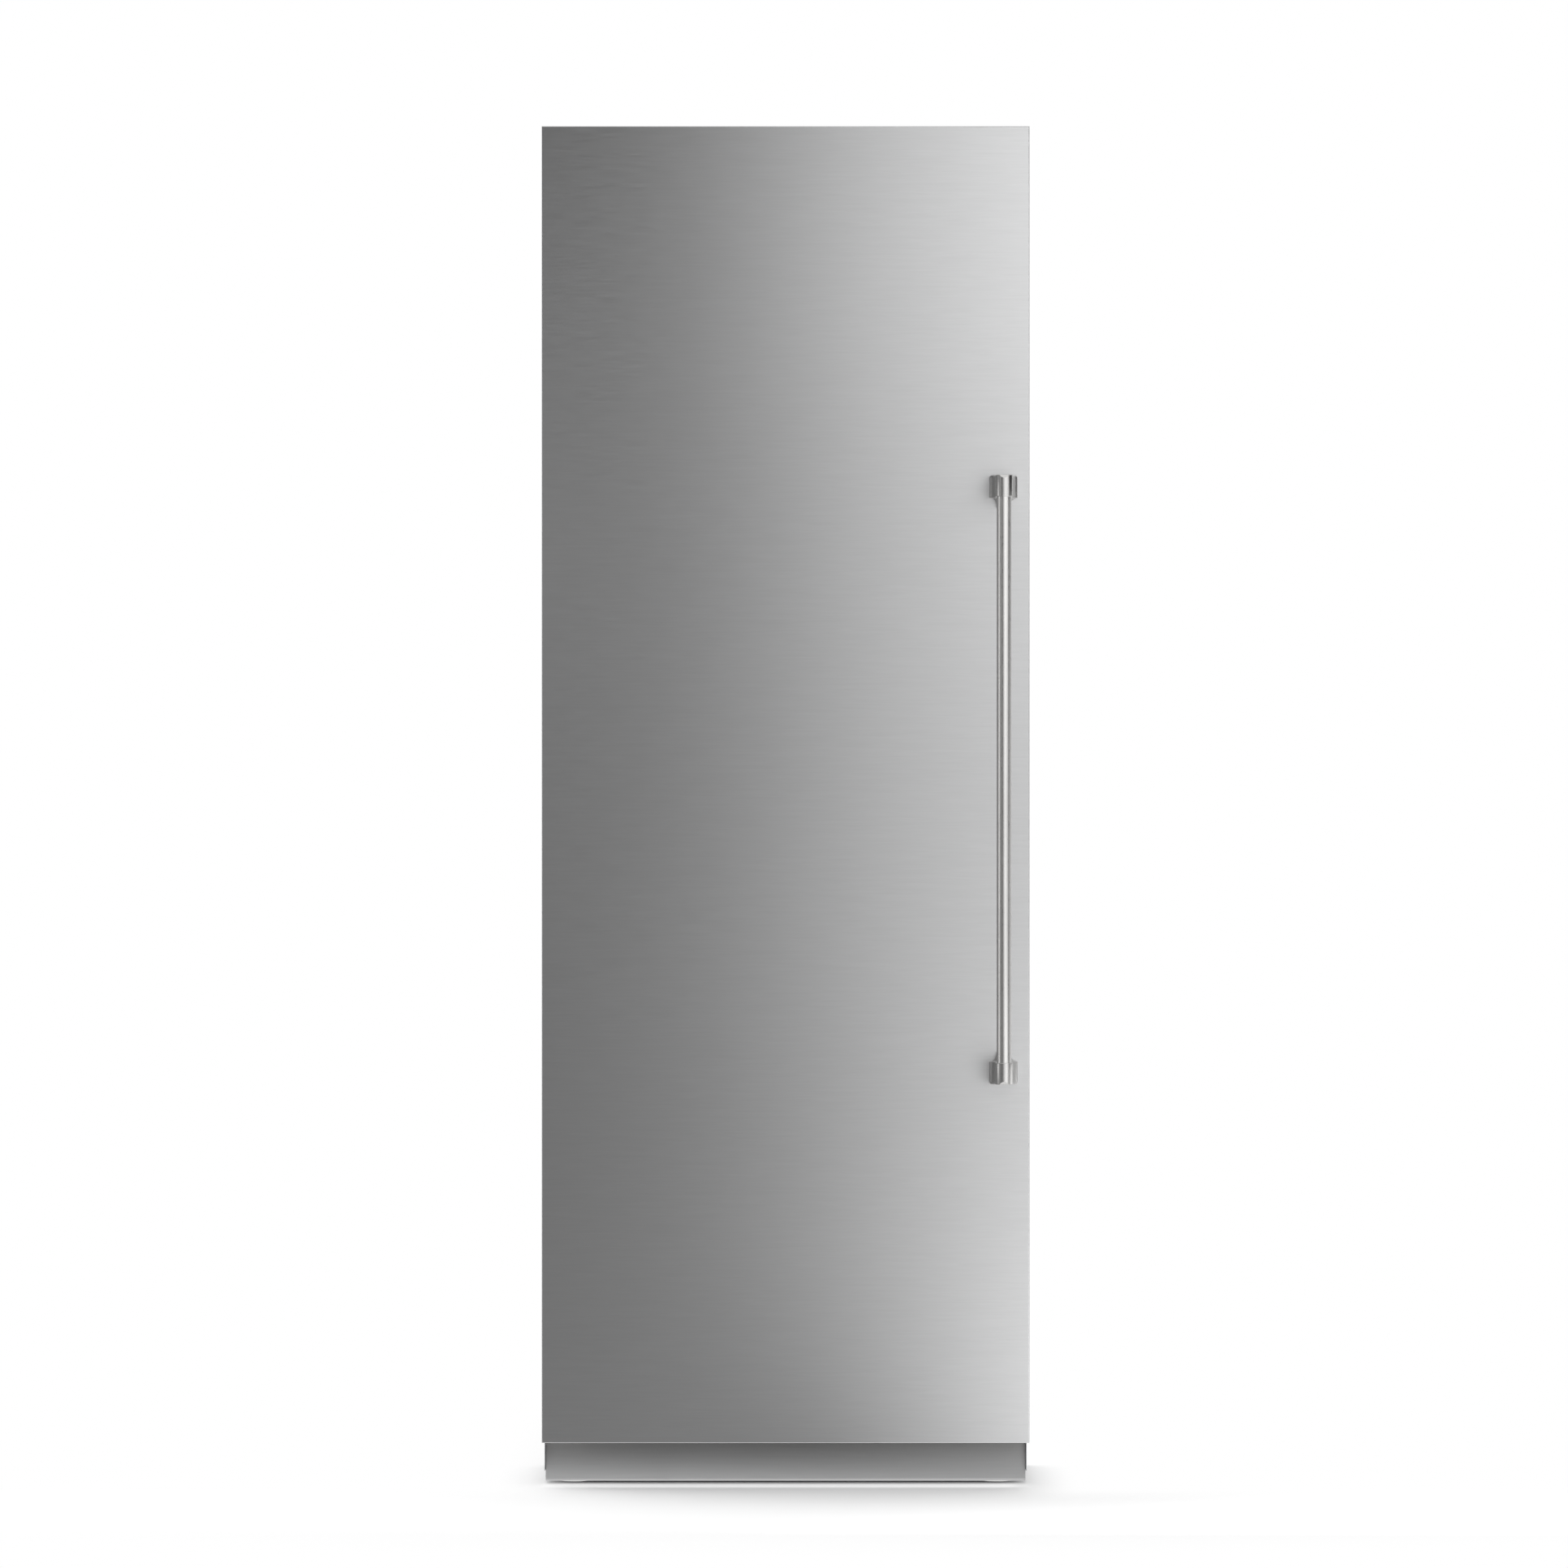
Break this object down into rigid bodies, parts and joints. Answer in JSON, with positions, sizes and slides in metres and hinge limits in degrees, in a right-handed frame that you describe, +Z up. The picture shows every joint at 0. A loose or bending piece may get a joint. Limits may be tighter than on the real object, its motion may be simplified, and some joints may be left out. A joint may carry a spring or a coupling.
{
  "type": "column refrigerator",
  "caption": "Tall built-in column refrigerator with one hinged stainless door, an upright bar handle, glass shelves, drawers and door bins over a machine base.",
  "frame": {"origin": "on the floor, at the middle of the object's box", "axes": "+Z up, the door faces -Y, the hinge is on the -X side and the handle on the +X side"},
  "size_m": [0.756, 0.6984, 2.108],
  "materials": {
    "door_panel": "horizontally brushed stainless steel",
    "panel_board": "fibre board",
    "door_shell": "grey paint, satin",
    "door_foam": "rigid insulating foam",
    "door_liner": "white plastic, satin",
    "door_gasket": "grey seal rubber, matte",
    "hinge_bushing_upper": "black plastic",
    "hinge_bushing_lower": "black plastic",
    "handle_bar": "horizontally brushed stainless steel",
    "handle_mount_upper": "smooth satin stainless steel",
    "handle_mount_lower": "smooth satin stainless steel",
    "door_bin_lower": "clear plastic",
    "door_bin_middle": "clear plastic",
    "door_bin_upper": "clear plastic",
    "dairy_box": "clear plastic",
    "outer_case": "grey paint, satin",
    "rear_panel": "zinc-plated steel, dull",
    "cabinet_foam": "rigid insulating foam",
    "inner_liner": "white plastic, satin",
    "front_frame": "grey paint, satin",
    "base_frame": "black paint, satin",
    "kickplate": "horizontally brushed stainless steel",
    "machine_grille": "black paint, satin",
    "rear_access_cover": "zinc-plated steel, dull",
    "power_inlet": "black plastic",
    "hinge_plate_upper": "zinc-plated steel, dull",
    "hinge_plate_lower": "zinc-plated steel, dull",
    "compressor": "black paint, satin",
    "condenser": "black paint, satin",
    "condenser_fan_motor": "zinc-plated steel, dull",
    "condenser_shroud": "black plastic",
    "discharge_line": "copper",
    "filter_drier": "copper",
    "drain_pan": "black plastic",
    "control_box": "grey plastic",
    "evaporator_cover": "white plastic, satin",
    "evaporator_coil": "plain aluminium",
    "evaporator_fan_motor": "zinc-plated steel, dull",
    "shelf_ladder_left": "white plastic, satin",
    "shelf_ladder_right": "white plastic, satin",
    "shelf_frame_lower": "horizontally brushed stainless steel",
    "shelf_frame_middle": "horizontally brushed stainless steel",
    "shelf_frame_upper": "horizontally brushed stainless steel",
    "shelf_glass_lower": "clear toughened glass",
    "shelf_glass_middle": "clear toughened glass",
    "shelf_glass_upper": "clear toughened glass",
    "crisper_frame": "white plastic, satin",
    "crisper_glass": "clear toughened glass",
    "control_panel": "black plastic",
    "ceiling_lamp": "white plastic, satin",
    "dairy_lid": "clear plastic",
    "deli_drawer": "clear plastic",
    "crisper_left": "clear plastic",
    "crisper_right": "clear plastic",
    "evaporator_fan": "white plastic, satin",
    "condenser_fan": "black plastic",
    "levelling_leg_left": "zinc-plated steel, dull",
    "levelling_leg_right": "zinc-plated steel, dull",
    "rear_roller_left": "black plastic",
    "rear_roller_right": "black plastic"
  },
  "bodies": {
    "cabinet": {"outer_case": "outer_case", "rear_panel": "rear_panel", "cabinet_foam": "cabinet_foam", "inner_liner": "inner_liner", "front_frame": "front_frame", "base_frame": "base_frame", "kickplate": "kickplate", "machine_grille": "machine_grille", "rear_access_cover": "rear_access_cover", "power_inlet": "power_inlet", "hinge_plate_upper": "hinge_plate_upper", "hinge_plate_lower": "hinge_plate_lower", "compressor": "compressor", "condenser": "condenser", "condenser_fan_motor": "condenser_fan_motor", "condenser_shroud": "condenser_shroud", "discharge_line": "discharge_line", "filter_drier": "filter_drier", "drain_pan": "drain_pan", "control_box": "control_box", "evaporator_cover": "evaporator_cover", "evaporator_coil": "evaporator_coil", "evaporator_fan_motor": "evaporator_fan_motor", "shelf_ladder_left": "shelf_ladder_left", "shelf_ladder_right": "shelf_ladder_right", "shelf_frame_lower": "shelf_frame_lower", "shelf_frame_middle": "shelf_frame_middle", "shelf_frame_upper": "shelf_frame_upper", "shelf_glass_lower": "shelf_glass_lower", "shelf_glass_middle": "shelf_glass_middle", "shelf_glass_upper": "shelf_glass_upper", "crisper_frame": "crisper_frame", "crisper_glass": "crisper_glass", "control_panel": "control_panel", "ceiling_lamp": "ceiling_lamp"},
    "door": {"door_panel": "door_panel", "panel_board": "panel_board", "door_shell": "door_shell", "door_foam": "door_foam", "door_liner": "door_liner", "door_gasket": "door_gasket", "hinge_bushing_upper": "hinge_bushing_upper", "hinge_bushing_lower": "hinge_bushing_lower", "handle_bar": "handle_bar", "handle_mount_upper": "handle_mount_upper", "handle_mount_lower": "handle_mount_lower", "door_bin_lower": "door_bin_lower", "door_bin_middle": "door_bin_middle", "door_bin_upper": "door_bin_upper", "dairy_box": "dairy_box"},
    "dairy_lid": {"dairy_lid": "dairy_lid"},
    "deli_drawer": {"deli_drawer": "deli_drawer"},
    "crisper_left": {"crisper_left": "crisper_left"},
    "crisper_right": {"crisper_right": "crisper_right"},
    "evaporator_fan": {"evaporator_fan": "evaporator_fan"},
    "condenser_fan": {"condenser_fan": "condenser_fan"},
    "levelling_leg_left": {"levelling_leg_left": "levelling_leg_left"},
    "levelling_leg_right": {"levelling_leg_right": "levelling_leg_right"},
    "rear_roller_left": {"rear_roller_left": "rear_roller_left"},
    "rear_roller_right": {"rear_roller_right": "rear_roller_right"}
  },
  "joints": [
    {"name": "door_hinge", "type": "hinge", "parent": "cabinet", "child": "door", "pos_m": [-0.362, -0.24575, 0.08], "axis": [0, 0, -1], "range_deg": [0, 115]},
    {"name": "dairy_lid_hinge", "type": "hinge", "parent": "door", "child": "dairy_lid", "pos_m": [0, -0.21475, 1.809], "axis": [1, 0, 0], "range_deg": [0, 90]},
    {"name": "deli_drawer_slide", "type": "slide", "parent": "cabinet", "child": "deli_drawer", "axis": [0, -1, 0], "range_m": [0, 0.25]},
    {"name": "crisper_left_slide", "type": "slide", "parent": "cabinet", "child": "crisper_left", "axis": [0, -1, 0], "range_m": [0, 0.25]},
    {"name": "crisper_right_slide", "type": "slide", "parent": "cabinet", "child": "crisper_right", "axis": [0, -1, 0], "range_m": [0, 0.25]},
    {"name": "evaporator_fan_spin", "type": "hinge", "parent": "cabinet", "child": "evaporator_fan", "pos_m": [0, 0.28095, 1.035], "axis": [0, 1, 0], "continuous": true},
    {"name": "condenser_fan_spin", "type": "hinge", "parent": "cabinet", "child": "condenser_fan", "pos_m": [-0.1277, 0.01925, 0.1113], "axis": [1, 0, 0], "continuous": true},
    {"name": "levelling_leg_left_slide", "type": "slide", "parent": "cabinet", "child": "levelling_leg_left", "axis": [0, 0, 1], "range_m": [-0.025, 0]},
    {"name": "rear_roller_left_spin", "type": "hinge", "parent": "cabinet", "child": "rear_roller_left", "pos_m": [-0.33, 0.27425, 0.022], "axis": [1, 0, 0], "continuous": true},
    {"name": "levelling_leg_right_slide", "type": "slide", "parent": "cabinet", "child": "levelling_leg_right", "axis": [0, 0, 1], "range_m": [-0.025, 0]},
    {"name": "rear_roller_right_spin", "type": "hinge", "parent": "cabinet", "child": "rear_roller_right", "pos_m": [0.33, 0.27425, 0.022], "axis": [1, 0, 0], "continuous": true}
  ],
  "couplings": [
    {"joint": "deli_drawer_slide", "follows": "door_hinge", "m_per_rad": 0.1245},
    {"joint": "crisper_left_slide", "follows": "door_hinge", "m_per_rad": 0.1245},
    {"joint": "crisper_right_slide", "follows": "door_hinge", "m_per_rad": 0.1245}
  ]
}
